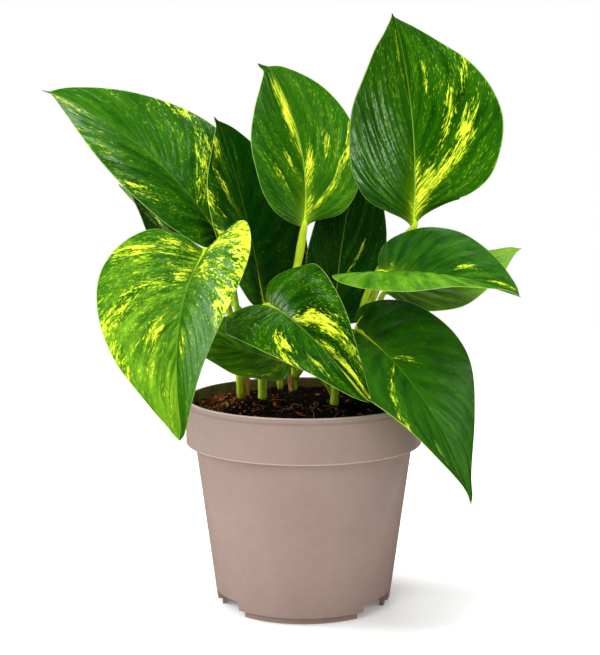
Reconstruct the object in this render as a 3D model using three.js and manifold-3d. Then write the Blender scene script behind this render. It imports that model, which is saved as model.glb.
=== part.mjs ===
// A potted pothos: a nursery pot, its soil, six stems, and twelve leaves on their stalks.
// Millimetres, +Z up. Every piece is placed about the pot's axis, with the pot's foot at z = 0.
// At the end the plant moves sideways, so that the origin is under the middle of its box.
import * as THREE from 'three';
import { mergeVertices } from 'three/addons/utils/BufferGeometryUtils.js';
import Module from 'manifold-3d';

const wasm = await Module();
wasm.setup();

// ---------------------------------------------------------------- driving dimensions

const gap = 0.3; // clearance kept between pieces that touch

const pot = {
  rimRadius: 60,
  height: 107,
  bandHeight: 23, // the straight band below the rim
  shoulderRadius: 55.4, // outside of the wall, just under the band
  toeRadius: 44.5, // outside of the wall at its lower edge
  footRadius: 42, // the ring that the pot stands on
  footHeight: 3.5,
  footWidth: 2,
  wall: 1.6,
  lip: 0.7, // chamfer on the rim's outer edge
  floorBottom: 8.5,
  segments: 48,
};

const notches = {
  directions: [-152.5, -32.5, 87.5], // degrees from +X
  height: 8,
  wallHalfAngle: 15.5,
  footHalfAngle: 18,
};

const drainHoles = { count: 6, radius: 4, ring: 27 };

const soil = {
  edge: 100.8, // height where it meets the pot
  mound: [[50, 101.6], [38, 102.8], [22, 103.8]], // radius and height, towards the middle
  crown: 104.3,
};

// Each stem is a cutting: its path starts in the soil and ends at its highest node.
const stems = {
  left: { path: [[-32, 15, 72], [-32, 14, 101], [-33.5, 13, 128]], diameter: 4.8 },
  front_left: { path: [[-20, 1, 72], [-21, -1, 101], [-21, 0, 128]], diameter: 4.5 },
  front_right: { path: [[13, -13, 72], [15, -15, 101], [16, -14, 120]], diameter: 4.2 },
  back: { path: [[-5, 26, 72], [-5, 27, 101], [-5, 27, 126]], diameter: 3 },
  back_left: { path: [[-11, 38, 72], [-12, 39, 101], [-14, 40, 120]], diameter: 3 },
  right: { path: [[26, 23, 72], [28, 23, 101], [29, 22, 128]], diameter: 4 },
};

// A leaf's own frame starts at its base, where the stalk joins the blade. yaw and pitch point the
// midrib, roll turns the blade about it, and bend, sweep and twist build up along its length.
// Pairs are for the left and the right half, seen from the stalk with the upper side up:
// fold lifts a half at the midrib, curl turns its margin down again, and lobe sets how far it
// reaches back past the stalk. stalk lists the points between the stem and the blade.
const leaves = {
  left_tall: {
    stem: 'left', stalk: [[-33, 14, 117], [-34, 24, 142], [-38, 30, 166]], stalkDiameter: 3.2,
    at: [-41, 30, 182], yaw: 157, pitch: 55, roll: -10, length: 136, width: 91,
    bend: -37, sweep: -5, twist: -8, fold: [23, 21], curl: [36, 7], lobe: [0.3, 0.6], belly: -0.01,
  },
  left_inner: {
    stem: 'back', stalk: [[-5, 27, 124], [-10, 27, 137], [-17, 25, 147]], stalkDiameter: 3,
    at: [-21, 24, 152], yaw: 117, pitch: 70, roll: 24, length: 104, width: 75,
    bend: -9, sweep: -5, twist: -13, fold: [30, 19], curl: [30, 25], lobe: [0.4, 0.6], belly: 0,
  },
  centre_tall: {
    stem: 'front_left', stalk: [[-21, 0, 126], [-15, 8, 144], [-5, 15, 166]], stalkDiameter: 4,
    at: [0, 17, 191], yaw: 75, pitch: 63, roll: 24, length: 101, width: 62,
    bend: -11, sweep: -36, twist: -5, fold: [29, 27], curl: [11, 4], lobe: [0.1, -0.2], belly: 0.03,
  },
  front_left: {
    stem: 'left', stalk: [[-33.5, 13, 126], [-39, 12, 152], [-46, 8, 172]], stalkDiameter: 3.8,
    at: [-49, -2, 182], yaw: -111, pitch: -24, roll: 10, length: 115, width: 88,
    bend: -52, sweep: -14, twist: 10, fold: [38, 50], curl: [40, 32], lobe: [0.6, 0.2], belly: -0.03,
  },
  top: {
    stem: 'right', stalk: [[29, 22, 116], [29, 27, 138], [33.5, 29.5, 157], [45, 31, 177]],
    stalkDiameter: 3.6,
    at: [57, 28, 191], yaw: 80, pitch: 61, roll: 8, length: 127, width: 98,
    bend: 1, sweep: -17, twist: 36, fold: [31, 29], curl: [-5, -10], lobe: [0, -0.4], belly: 0.05,
  },
  front_middle: {
    stem: 'front_left', stalk: [[-21, 0, 121], [-23, 2, 138], [-22, -3, 151]], stalkDiameter: 3,
    at: [-18, -15, 156], yaw: -74, pitch: 4, roll: 31, length: 94, width: 59,
    bend: -73, sweep: -5, twist: 0, fold: [42, 22], curl: [45, 23], lobe: [1.1, 1.2], belly: -0.14,
  },
  right_side: {
    stem: 'right', stalk: [[29, 22, 126], [30, 18, 143], [36, 12, 157]], stalkDiameter: 3,
    at: [38, 4, 170], yaw: -18, pitch: 5, roll: 12, length: 75, width: 71,
    bend: -24, sweep: 7, twist: -7, fold: [41, 27], curl: [29, 55], lobe: [0.3, 2], belly: -0.05,
  },
  back_middle: {
    stem: 'back', stalk: [[-5, 27, 112], [2, 29.5, 120], [9.5, 33, 129]], stalkDiameter: 2.8,
    at: [16, 35, 137], yaw: 76, pitch: 80, roll: 45, length: 106, width: 56,
    bend: 6, sweep: 13, twist: -2, fold: [32, 5], curl: [22, 5], lobe: [0.1, 0], belly: 0,
  },
  right_under: {
    stem: 'right', stalk: [[29, 22, 122], [33.5, 21, 138], [38, 20, 150]], stalkDiameter: 2.8,
    at: [41.5, 19.8, 158], yaw: 27, pitch: 14, roll: 15, length: 86, width: 68,
    bend: -2, sweep: 0, twist: -10, fold: [11, 6], curl: [60, 31], lobe: [-0.6, 0.2], belly: -0.03,
  },
  front_right: {
    stem: 'front_right', stalk: [[16, -14, 118], [20, -12, 130], [26, -10, 138]],
    stalkDiameter: 3.4,
    at: [28, -11, 142], yaw: -51, pitch: -19, roll: 18, length: 110, width: 82,
    bend: -72, sweep: -3, twist: -42, fold: [12, 16], curl: [8, 19], lobe: [1.1, 1], belly: -0.05,
  },
  back_left: {
    stem: 'back_left', stalk: [[-14, 40, 118], [-26, 44, 138], [-43, 47, 153]],
    stalkDiameter: 2.8,
    at: [-52, 46, 159], yaw: 134, pitch: 37, roll: 18, length: 88, width: 66,
    bend: -5, sweep: 0, twist: 19, fold: [19, 15], curl: [28, 25], lobe: [1, 1], belly: -0.02,
  },
  low: {
    stem: 'front_right', stalk: [[15.5, -14.5, 110], [9, -13, 119], [0, -12, 124]],
    stalkDiameter: 2.6,
    at: [-6, -11, 125], yaw: 184, pitch: 21, roll: -59, length: 58, width: 37,
    bend: -13, sweep: -9, twist: 3, fold: [24, 20], curl: [0, 12], lobe: [0.2, 0.3], belly: 0.05,
  },
};

const blade = { thickness: 0.7, rows: 12, columns: 8 };

// Dry leaf bases that still clasp two of the stems. Angles are degrees from +X.
const sheaths = {
  left: { stem: 'left', from: -60, to: 90, bottom: 104.2, height: 12 },
  back: { stem: 'back', from: 110, to: 260, bottom: 104.6, height: 12 },
};
const sheathThickness = 0.7;

// ---------------------------------------------------------------- materials

const material = (color, roughness) => new THREE.MeshStandardMaterial({ color, roughness });

const finishes = {
  pot: material('#a48b80', 0.55),
  soil: material('#2e1c12', 0.95),
  stem: material('#8fb526', 0.45),
  stalk: material('#93ba2c', 0.42),
  leaf: material('#1f6d14', 0.32),
  sheath: material('#8a5a2a', 0.8),
};

// ---------------------------------------------------------------- solids and vectors

const radians = THREE.MathUtils.degToRad;
const vector = ([x, y, z]) => new THREE.Vector3(x, y, z);

// A closed mesh becomes a solid once its shared corners are merged and its flat slivers are gone.
function solidFrom(geometry) {
  const shell = geometry.clone();
  shell.deleteAttribute('normal');
  shell.deleteAttribute('uv');
  const merged = mergeVertices(shell, 1e-4);
  const corners = merged.index.array;
  const triangles = [];
  for (let i = 0; i < corners.length; i += 3) {
    const [a, b, c] = corners.slice(i, i + 3);
    if (a !== b && b !== c && c !== a) triangles.push(a, b, c);
  }
  return new wasm.Manifold(new wasm.Mesh({
    numProp: 3,
    vertProperties: merged.attributes.position.array,
    triVerts: Uint32Array.from(triangles),
  }));
}

function geometryFrom(solid) {
  const { vertProperties, triVerts } = solid.getMesh();
  const geometry = new THREE.BufferGeometry();
  geometry.setAttribute('position', new THREE.BufferAttribute(vertProperties, 3));
  geometry.setIndex(new THREE.BufferAttribute(triVerts, 1));
  geometry.computeVertexNormals();
  return geometry;
}

function largestPiece(solid) {
  return solid.decompose().sort((a, b) => b.volume() - a.volume())[0];
}

// A solid turned about +Z from a closed profile of [radius, height] points.
function turned(profile) {
  const points = profile.map(([radius, height]) => new THREE.Vector2(radius, height));
  return solidFrom(new THREE.LatheGeometry(points, pot.segments).rotateX(Math.PI / 2));
}

// A block that fills an arc of a ring, from one radius to another, standing on z = bottom.
function arcBlock(inner, outer, fromAngle, toAngle, bottom, height) {
  const shape = new THREE.Shape();
  shape.absarc(0, 0, outer, radians(fromAngle), radians(toAngle), false);
  shape.absarc(0, 0, inner, radians(toAngle), radians(fromAngle), true);
  shape.closePath();
  const block = new THREE.ExtrudeGeometry(shape, {
    depth: height, bevelEnabled: false, curveSegments: 8,
  });
  return block.translate(0, 0, bottom);
}

// A round rod along a smooth path. grow makes it fatter and longer, as a cutter with clearance.
function rod(path, diameter, sides, grow = 0) {
  const points = path.map(vector);
  const last = points.length - 1;
  const startTangent = points[0].clone().sub(points[1]).setLength(Math.max(grow, 1e-6));
  const endTangent = points[last].clone().sub(points[last - 1]).setLength(Math.max(grow, 1e-6));
  points[0].add(startTangent);
  points[last].add(endTangent);
  const section = new THREE.Shape();
  section.absarc(0, 0, diameter / 2 + grow, 0, 2 * Math.PI, false);
  return solidFrom(new THREE.ExtrudeGeometry(section, {
    steps: 3 * last, curveSegments: sides, bevelEnabled: false,
    extrudePath: new THREE.CatmullRomCurve3(points),
  }));
}

// ---------------------------------------------------------------- pot and soil

function potSolid() {
  const bandBottom = pot.height - pot.bandHeight;
  const floorTop = pot.floorBottom + pot.wall;
  const toeInside = pot.toeRadius - pot.wall;
  const footInside = pot.footRadius - pot.footWidth;
  const shell = turned([
    [0, pot.floorBottom],
    [footInside, pot.floorBottom],
    [footInside, 0],
    [pot.footRadius, 0],
    [pot.footRadius, pot.footHeight],
    [pot.toeRadius, pot.footHeight],
    [pot.shoulderRadius, bandBottom],
    [pot.rimRadius, bandBottom],
    [pot.rimRadius, pot.height - pot.lip],
    [pot.rimRadius - pot.lip, pot.height],
    [pot.rimRadius - pot.wall, pot.height],
    [pot.rimRadius - pot.wall, bandBottom + pot.wall],
    [pot.shoulderRadius - pot.wall, bandBottom],
    [toeInside, floorTop],
    [0, floorTop],
  ]);
  return [...notchCutters(), ...drainCutters()].reduce((cup, cutter) => cup.subtract(cutter), shell);
}

// Each notch opens the foot ring a little wider than the wall above it.
function notchCutters() {
  const below = 1;
  const beyond = pot.toeRadius + 5;
  return notches.directions.flatMap((direction) => [
    solidFrom(arcBlock(pot.footRadius - 6, beyond, direction - notches.wallHalfAngle,
      direction + notches.wallHalfAngle, -below, notches.height + below)),
    solidFrom(arcBlock(pot.footRadius - 6, pot.footRadius + 1, direction - notches.footHalfAngle,
      direction + notches.footHalfAngle, -below, pot.footHeight + below)),
  ]);
}

function drainCutters() {
  return Array.from({ length: drainHoles.count }, (_, i) => {
    const angle = (2 * Math.PI * i) / drainHoles.count;
    const hole = new THREE.CylinderGeometry(drainHoles.radius, drainHoles.radius, 6, 12);
    hole.rotateX(Math.PI / 2);
    hole.translate(drainHoles.ring * Math.cos(angle), drainHoles.ring * Math.sin(angle),
      pot.floorBottom + pot.wall / 2);
    return solidFrom(hole);
  });
}

function soilSolid() {
  const bandBottom = pot.height - pot.bandHeight;
  const floorTop = pot.floorBottom + pot.wall;
  const inRim = pot.rimRadius - pot.wall - gap;
  const fill = turned([
    [0, floorTop + gap],
    [pot.toeRadius - pot.wall - gap, floorTop + gap],
    [pot.shoulderRadius - pot.wall - gap, bandBottom + gap],
    [inRim, bandBottom + pot.wall + gap],
    [inRim, soil.edge],
    ...soil.mound,
    [0, soil.crown],
  ]);
  return Object.values(stems).reduce(
    (bed, stem) => bed.subtract(rod(stem.path, stem.diameter, 5, gap)), fill);
}

// ---------------------------------------------------------------- leaves

// Half of the blade's outline, from the notch at its base (t = 0) to its tip (t = 1).
// x is a share of the half width, and y is a share of the length.
function outline(lobe, belly) {
  return new THREE.CatmullRomCurve3([
    [0, 0, 0],
    [0.26, 0.03 - 0.15 * lobe, 0],
    [0.62, 0.06 - 0.14 * lobe, 0],
    [0.90, 0.17 - 0.06 * lobe, 0],
    [1.00, 0.33 + belly, 0],
    [0.92, 0.50 + belly, 0],
    [0.70, 0.68 + 0.7 * belly, 0],
    [0.40, 0.83 + 0.4 * belly, 0],
    [0.14, 0.945, 0],
    [0, 1, 0],
  ].map(vector), false, 'catmullrom', 0.5);
}

// The directions along the midrib, across the blade and out of its upper side, at share v.
function leafAxes(leaf, v) {
  const yaw = radians(leaf.yaw);
  const pitch = radians(leaf.pitch);
  const roll = radians(leaf.roll);
  const level = new THREE.Vector3(Math.cos(yaw), Math.sin(yaw), 0);
  const ahead = level.clone().multiplyScalar(Math.cos(pitch)).setZ(Math.sin(pitch));
  const above = level.clone().multiplyScalar(-Math.sin(pitch)).setZ(Math.cos(pitch));
  const aside = ahead.clone().cross(above);
  const up = above.clone().applyAxisAngle(ahead, roll);
  const right = aside.clone().applyAxisAngle(ahead, roll);

  const bend = radians(leaf.bend) * v;
  const sweep = radians(leaf.sweep) * v;
  const swept = ahead.clone().multiplyScalar(Math.cos(sweep)).addScaledVector(right, Math.sin(sweep));
  const along = swept.clone().multiplyScalar(Math.cos(bend)).addScaledVector(up, Math.sin(bend));
  const out = swept.multiplyScalar(-Math.sin(bend)).addScaledVector(up, Math.cos(bend));
  const twist = radians(leaf.twist) * v;
  out.applyAxisAngle(along, twist);
  return { along, out, across: along.clone().cross(out) };
}

// The point on the midrib y millimetres from the base: the sum of short steps along it.
function midribPoint(leaf, y) {
  const point = vector(leaf.at);
  let along = leafAxes(leaf, 0).along;
  if (y <= 0) return point.addScaledVector(along, y);
  const steps = 16;
  for (let i = 1; i <= steps; i += 1) {
    const next = leafAxes(leaf, ((y / leaf.length) * i) / steps).along;
    point.addScaledVector(along, y / steps / 2).addScaledVector(next, y / steps / 2);
    along = next;
  }
  return point;
}

// The flat blade's point (x across, y along) put on the folded, curled and bent blade.
function bladePoint(leaf, x, y) {
  const half = x < 0 ? 0 : 1;
  const fold = radians(leaf.fold[half]);
  const curl = radians(leaf.curl[half] || 0.1) / (leaf.width / 2);
  const reach = Math.abs(x);
  const aside = (Math.sin(fold) - Math.sin(fold - curl * reach)) / curl;
  const lift = (Math.cos(fold - curl * reach) - Math.cos(fold)) / curl;
  const { across, out } = leafAxes(leaf, THREE.MathUtils.clamp(y / leaf.length, 0, 1));
  return midribPoint(leaf, y).addScaledVector(across, aside * Math.sign(x)).addScaledVector(out, lift);
}

// A point of the blade's middle surface. a runs from base to tip, and t from the left margin (-1)
// to the right one (1): each row curves forward from the midrib to the margin, as a vein does.
function veinPoint(leaf, margins, a, t) {
  const margin = margins[t < 0 ? 0 : 1].getPoint(a);
  const start = a ** 1.7;
  const s = Math.abs(t);
  const x = s * (1 - s) * margin.x + s * s * margin.x;
  const y = (1 - s) ** 2 * start + 2 * s * (1 - s) * (start + 0.38 * (margin.y - start))
    + s * s * margin.y;
  return bladePoint(leaf, Math.sign(t) * x * (leaf.width / 2), y * leaf.length);
}

// The same blade, larger all round by the gap, which cuts its own stalk back to clear it.
function leafClearance(leaf) {
  const back = leafAxes(leaf, 0).along.multiplyScalar(-gap);
  return solidFrom(leafGeometry({
    ...leaf, at: vector(leaf.at).add(back).toArray(), width: leaf.width + 2 * gap,
  }, blade.thickness + 2 * gap));
}

// A closed blade: the middle surface pushed out to both sides, with a wall around its margin.
function leafGeometry(leaf, thickness) {
  const { rows, columns } = blade;
  const margins = leaf.lobe.map((lobe) => outline(lobe, leaf.belly));
  const points = [veinPoint(leaf, margins, 0, 0)];
  for (let i = 1; i < rows; i += 1) {
    for (let j = 0; j <= columns; j += 1) {
      points.push(veinPoint(leaf, margins, i / rows, (2 * j) / columns - 1));
    }
  }
  points.push(veinPoint(leaf, margins, 1, 0));

  const tip = points.length - 1;
  const at = (i, j) => (i === 0 ? 0 : i === rows ? tip : 1 + (i - 1) * (columns + 1) + j);
  const faces = [];
  for (let i = 0; i < rows; i += 1) {
    for (let j = 0; j < columns; j += 1) {
      if (i < rows - 1) faces.push([at(i, j), at(i + 1, j + 1), at(i + 1, j)]);
      if (i > 0) faces.push([at(i, j), at(i, j + 1), at(i + 1, j + 1)]);
    }
  }
  const middle = new THREE.BufferGeometry().setFromPoints(points);
  middle.setIndex(faces.flat());
  middle.computeVertexNormals();

  const normals = middle.attributes.normal;
  const offset = (side) => points.map((point, i) => point.clone().addScaledVector(
    new THREE.Vector3().fromBufferAttribute(normals, i), (side * thickness) / 2));
  const count = points.length;
  const rim = [];
  for (let i = 0; i <= rows; i += 1) rim.push(at(i, 0));
  for (let i = rows - 1; i > 0; i -= 1) rim.push(at(i, columns));
  const wall = rim.flatMap((a, k) => {
    const b = rim[(k + 1) % rim.length];
    return [[a, b, b + count], [a, b + count, a + count]];
  });
  const closed = new THREE.BufferGeometry().setFromPoints([...offset(1), ...offset(-1)]);
  closed.setIndex([
    ...faces, ...faces.map(([a, b, c]) => [a + count, c + count, b + count]), ...wall,
  ].flat());
  closed.computeVertexNormals();
  return closed;
}

// ---------------------------------------------------------------- the plant

const plant = new THREE.Group();

function add(name, geometry, finish) {
  const mesh = new THREE.Mesh(geometry, finish);
  mesh.name = name;
  plant.add(mesh);
}

add('pot', geometryFrom(potSolid()), finishes.pot);
add('soil', geometryFrom(soilSolid()), finishes.soil);

for (const [name, { path, diameter }] of Object.entries(stems)) {
  add(`stem_${name}`, geometryFrom(rod(path, diameter, 5)), finishes.stem);
}

for (const [name, { stem, from, to, bottom, height }] of Object.entries(sheaths)) {
  const [x, y] = stems[stem].path[1];
  const inner = stems[stem].diameter / 2 + 3 * gap;
  const clasp = arcBlock(inner, inner + sheathThickness, from, to, bottom, height);
  add(`sheath_${name}`, geometryFrom(solidFrom(clasp.translate(x, y, 0))), finishes.sheath);
}

// A stalk is cut back to clear its stem, its own blade and the stalks that share its stem.
const stalkCutters = {};
for (const [name, leaf] of Object.entries(leaves)) {
  const stem = stems[leaf.stem];
  const path = [...leaf.stalk, leaf.at];
  const neighbours = (stalkCutters[leaf.stem] ??= [rod(stem.path, stem.diameter, 5, gap)]);
  const stalk = [...neighbours, leafClearance(leaf)].reduce(
    (piece, cutter) => piece.subtract(cutter), rod(path, leaf.stalkDiameter, 4));
  neighbours.push(rod(path, leaf.stalkDiameter, 4, gap));
  add(`petiole_${name}`, geometryFrom(largestPiece(stalk)), finishes.stalk);
  add(`leaf_${name}`, leafGeometry(leaf, blade.thickness), finishes.leaf);
}

const box = new THREE.Box3().setFromObject(plant);
const middle = box.getCenter(new THREE.Vector3());
plant.position.set(-middle.x, -middle.y, 0);

export default plant;
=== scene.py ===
# A potted variegated pothos in a taupe nursery pot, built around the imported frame.
# Shapes are worked out in millimetres about the pot's axis and stored in metres.
import math

import bpy
import numpy as np
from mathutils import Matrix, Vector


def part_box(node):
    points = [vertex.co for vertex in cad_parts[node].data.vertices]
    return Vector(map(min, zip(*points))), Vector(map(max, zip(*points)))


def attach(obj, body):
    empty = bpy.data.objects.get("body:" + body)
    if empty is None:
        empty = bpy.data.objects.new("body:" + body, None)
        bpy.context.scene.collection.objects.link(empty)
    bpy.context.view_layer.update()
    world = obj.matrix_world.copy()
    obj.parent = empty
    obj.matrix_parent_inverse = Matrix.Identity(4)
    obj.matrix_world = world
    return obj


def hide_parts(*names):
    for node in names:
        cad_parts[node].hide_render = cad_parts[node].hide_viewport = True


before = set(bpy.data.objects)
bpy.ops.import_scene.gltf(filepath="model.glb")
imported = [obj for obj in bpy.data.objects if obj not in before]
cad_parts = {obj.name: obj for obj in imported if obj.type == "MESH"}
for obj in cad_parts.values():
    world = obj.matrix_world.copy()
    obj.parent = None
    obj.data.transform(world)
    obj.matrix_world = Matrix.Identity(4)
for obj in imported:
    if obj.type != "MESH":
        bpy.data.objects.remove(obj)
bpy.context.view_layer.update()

potLow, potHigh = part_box("pot")
axisPoint = np.array([(potLow[0] + potHigh[0]) / 2, (potLow[1] + potHigh[1]) / 2, 0.0])
print("frame loaded:", len(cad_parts), "nodes")


# Camera, light and floor.

cameraView = {"side": -1.9, "back": -900.0, "height": 270.6, "pitch": 8.1, "lens": 98.5}


def placed(points):
    # millimetres about the pot's axis -> metres in the frame
    return np.asarray(points, float) * 0.001 + axisPoint


def addObject(name, data):
    made = bpy.data.objects.new(name, data)
    bpy.context.scene.collection.objects.link(made)
    return made


def addCamera(view):
    # in front of the pot, turned down by the pitch
    data = bpy.data.cameras.new("camera")
    data.lens, data.sensor_width, data.clip_end = view["lens"], 36.0, 20.0
    camera = addObject("camera", data)
    camera.location = placed([view["side"], view["back"], view["height"]])
    camera.rotation_euler = (math.radians(90 - view["pitch"]), 0, 0)
    bpy.context.scene.camera = camera


addCamera(cameraView)

# place and target in millimetres about the pot's axis, size in metres, power in watts;
# a soft lamp lights the object but isn't mirrored in it
lamps = {
    "frontLamp": {"at": (-450, -1350, 1050), "to": (0, 0, 150), "size": 0.9, "power": 14.0,
                  "soft": True},
    "topLamp": {"at": (-120, -50, 1450), "to": (0, 0, 150), "size": 0.8, "power": 21.0,
                "soft": True},
    "leftLamp": {"at": (-1150, 330, 640), "to": (0, 0, 130), "size": 0.85, "power": 14.0,
                 "soft": False},
    "rightLamp": {"at": (1250, -120, 540), "to": (0, 0, 170), "size": 0.20, "power": 3.5,
                  "soft": False},
    "sideLamp": {"at": (-1000, -330, 330), "to": (0, 0, 90), "size": 0.9, "power": 3.0,
                 "soft": True},
    "highLamp": {"at": (430, 40, 1350), "to": (0, 0, 190), "size": 0.22, "power": 1.7,
                 "soft": False},
    "backLamp": {"at": (60, 1150, 1400), "to": (0, 0, 170), "size": 0.4, "power": 2.2,
                 "soft": False},
}


def addLamps(settings):
    # square lamps, each turned from its place towards its target
    for name, lamp in settings.items():
        data = bpy.data.lights.new(name, "AREA")
        data.size, data.energy = lamp["size"], lamp["power"]
        light = addObject(name, data)
        light.location = placed(lamp["at"])
        light.visible_glossy = not lamp["soft"]
        light.visible_camera = False
        aim = placed(lamp["to"]) - placed(lamp["at"])
        flat = math.hypot(aim[0], aim[1])
        light.rotation_euler = (math.atan2(flat, -aim[2]), 0, math.atan2(-aim[0], aim[1]))


addLamps(lamps)
print("camera set, lamps:", len(lamps))


# Node helpers.

def add(tree, kind, inputs=None, **settings):
    # one node: sockets in inputs are linked, other values are set
    made = tree.nodes.new(kind)
    for name, value in settings.items():
        setattr(made, name, value)
    for name, value in (inputs or {}).items():
        if isinstance(value, bpy.types.NodeSocket):
            tree.links.new(value, made.inputs[name])
        else:
            made.inputs[name].default_value = value
    return made


def calc(tree, operation, a, b=0.0):
    return add(tree, "ShaderNodeMath", {0: a, 1: b}, operation=operation).outputs[0]


def product(tree, a, b):
    return calc(tree, "MULTIPLY", a, b)


def weighted(tree, total, *terms):
    # total plus each value times its weight
    for value, weight in terms:
        total = add(tree, "ShaderNodeMath", {0: value, 1: weight, 2: total},
                    operation="MULTIPLY_ADD").outputs[0]
    return total


def step(tree, value, low, high, outLow=0.0, outHigh=1.0):
    # smooth from outLow where the value is low to outHigh where it is high
    return add(tree, "ShaderNodeMapRange",
               {"Value": value, "From Min": low, "From Max": high,
                "To Min": outLow, "To Max": outHigh},
               interpolation_type="SMOOTHSTEP").outputs[0]


def noise(tree, vector, scale, detail=2.0, roughness=0.5):
    return add(tree, "ShaderNodeTexNoise",
               {"Vector": vector, "Scale": scale, "Detail": detail,
                "Roughness": roughness}).outputs["Fac"]


def upwardGrain(tree, place, stretch, scale, roughness):
    # noise drawn out upwards
    drawn = add(tree, "ShaderNodeMapping", {"Vector": place, "Scale": (1.0, 1.0, stretch)})
    return noise(tree, drawn.outputs[0], scale, 3.0, roughness)


def blend(tree, factor, a, b):
    # colour a where the factor is 0, b where it is 1
    return add(tree, "ShaderNodeMix", {0: factor, 6: a, 7: b}, data_type="RGBA").outputs[2]


def colour(r, g, b):
    return (r, g, b, 1.0)


def newMaterial(name, roughness, specular):
    material = bpy.data.materials.new(name)
    material.use_nodes = True
    shader = material.node_tree.nodes["Principled BSDF"]
    shader.inputs["Roughness"].default_value = roughness
    shader.inputs["Specular IOR Level"].default_value = specular
    return material, material.node_tree, shader


def painted(made, paint, height, depth, strength, roughness=None):
    # colour, bump and, where it varies, roughness carried to a new material's shader
    material, tree, shader = made
    bump = add(tree, "ShaderNodeBump", {"Height": height, "Distance": depth,
                                        "Strength": strength})
    tree.links.new(paint, shader.inputs["Base Color"])
    tree.links.new(bump.outputs["Normal"], shader.inputs["Normal"])
    if roughness is not None:
        tree.links.new(roughness, shader.inputs["Roughness"])
    return material


def objectPlace(tree):
    # place in metres in the frame
    return add(tree, "ShaderNodeTexCoord").outputs["Object"]


def attribute(tree, name):
    return add(tree, "ShaderNodeAttribute", attribute_name=name).outputs["Fac"]


# Mesh helpers.

def isInsideOut(points, faces):
    # signed volume of a closed mesh, each face split from its first corner
    first, second, third, last = (points[[face[k] for face in faces]] for k in (0, 1, 2, -1))
    cross = np.cross(second, third) + np.cross(third, last)
    return float((first * cross).sum()) < 0


def closedRings(rings, start, end):
    # rings (rows, around, 3) carried from one pole to the other, quads between neighbours
    rows, around = rings.shape[:2]
    points = np.vstack([[start], rings.reshape(-1, 3), [end]])
    index = 1 + np.arange(rows * around).reshape(rows, around)
    after = np.roll(index, -1, axis=1)
    quads = np.stack([index[:-1], after[:-1], after[1:], index[1:]], -1).reshape(-1, 4)
    first = np.stack([np.zeros(around, int), after[0], index[0]], -1)
    last = np.stack([np.full(around, len(points) - 1), index[-1], after[-1]], -1)
    faces = [tuple(f) for f in first] + [tuple(f) for f in quads] + [tuple(f) for f in last]
    if isInsideOut(points, faces):
        faces = [face[::-1] for face in faces]
    return points, faces


def joined(parts):
    # several (points, faces) lists as one
    points, faces, offset = [], [], 0
    for partPoints, partFaces in parts:
        points.append(partPoints)
        faces += [tuple(int(i) + offset for i in face) for face in partFaces]
        offset += len(partPoints)
    return np.vstack(points), faces


def addPiece(name, points, faces, materials, nodes, smooth=True,
             uv=None, values=None, faceMaterial=None):
    # a mesh that takes the place of CAD nodes; values holds a number for each point
    mesh = bpy.data.meshes.new(name)
    mesh.from_pydata(placed(points), [], [tuple(int(i) for i in face) for face in faces])
    for material in materials:
        mesh.materials.append(material)
    mesh.polygons.foreach_set("use_smooth", np.full(len(faces), smooth))
    if faceMaterial is not None:
        mesh.polygons.foreach_set("material_index", np.asarray(faceMaterial, np.int32))
    if uv is not None:
        corner = np.zeros(len(mesh.loops), np.int32)
        mesh.loops.foreach_get("vertex_index", corner)
        layer = mesh.uv_layers.new(name="leafUv")
        layer.data.foreach_set("uv", uv[corner].astype(np.float32).ravel())
    for label, data in (values or {}).items():
        layer = mesh.attributes.new(label, "FLOAT", "POINT")
        layer.data.foreach_set("value", np.asarray(data, np.float32))
    mesh.update()
    piece = addObject(name, mesh)
    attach(piece, "root")
    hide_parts(*nodes)
    return piece


def smoothCurve(points, steps):
    # Catmull-Rom through the points, ends mirrored
    points = np.asarray(points, float)
    last = len(points) - 1
    place = np.linspace(0, last, steps)
    i = np.minimum(place.astype(int), last - 1)
    w = (place - i)[:, None]
    p1, p2 = points[i], points[i + 1]
    p0 = np.where((i == 0)[:, None], 2 * p1 - p2, points[np.maximum(i - 1, 0)])
    p3 = np.where((i == last - 1)[:, None], 2 * p2 - p1, points[np.minimum(i + 2, last)])
    return 0.5 * (2 * p1 + (p2 - p0) * w + (2 * p0 - 5 * p1 + 4 * p2 - p3) * w**2
                  + (3 * p1 - p0 - 3 * p2 + p3) * w**3)


def tube(path, radius, sides=14, groove=0.0):
    # a ring square to the path at each of its points, turned as little as possible on the way;
    # groove presses a channel into one side
    path = np.asarray(path, float)
    tangent = np.gradient(path, axis=0)
    tangent /= np.linalg.norm(tangent, axis=1)[:, None]
    reference = np.array([1.0, 0.0, 0.0]) if abs(tangent[0, 0]) < 0.8 else np.array([0, 1.0, 0])
    across = np.cross(tangent, reference)
    across /= np.linalg.norm(across, axis=1)[:, None]
    other = np.cross(tangent, across)
    angle = np.linspace(0, 2 * np.pi, sides, endpoint=False)
    # the channel is about 0.55 radians wide to each side
    dent = 1 - groove * np.exp(-(((angle - np.pi) / 0.55) ** 2))
    reach = np.asarray(radius, float)[:, None] * dent[None, :]
    rings = (path[:, None] + reach[..., None] * (across[:, None] * np.cos(angle)[None, :, None]
             + other[:, None] * np.sin(angle)[None, :, None]))
    cap = 0.6 * float(reach[0].mean()), 0.6 * float(reach[-1].mean())
    return closedRings(rings, path[0] - tangent[0] * cap[0], path[-1] + tangent[-1] * cap[1])


def smoothStep(value, low, high):
    # 0 at low, 1 at high, level at both
    x = np.clip((value - low) / (high - low), 0, 1)
    return x * x * (3 - 2 * x)


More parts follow.
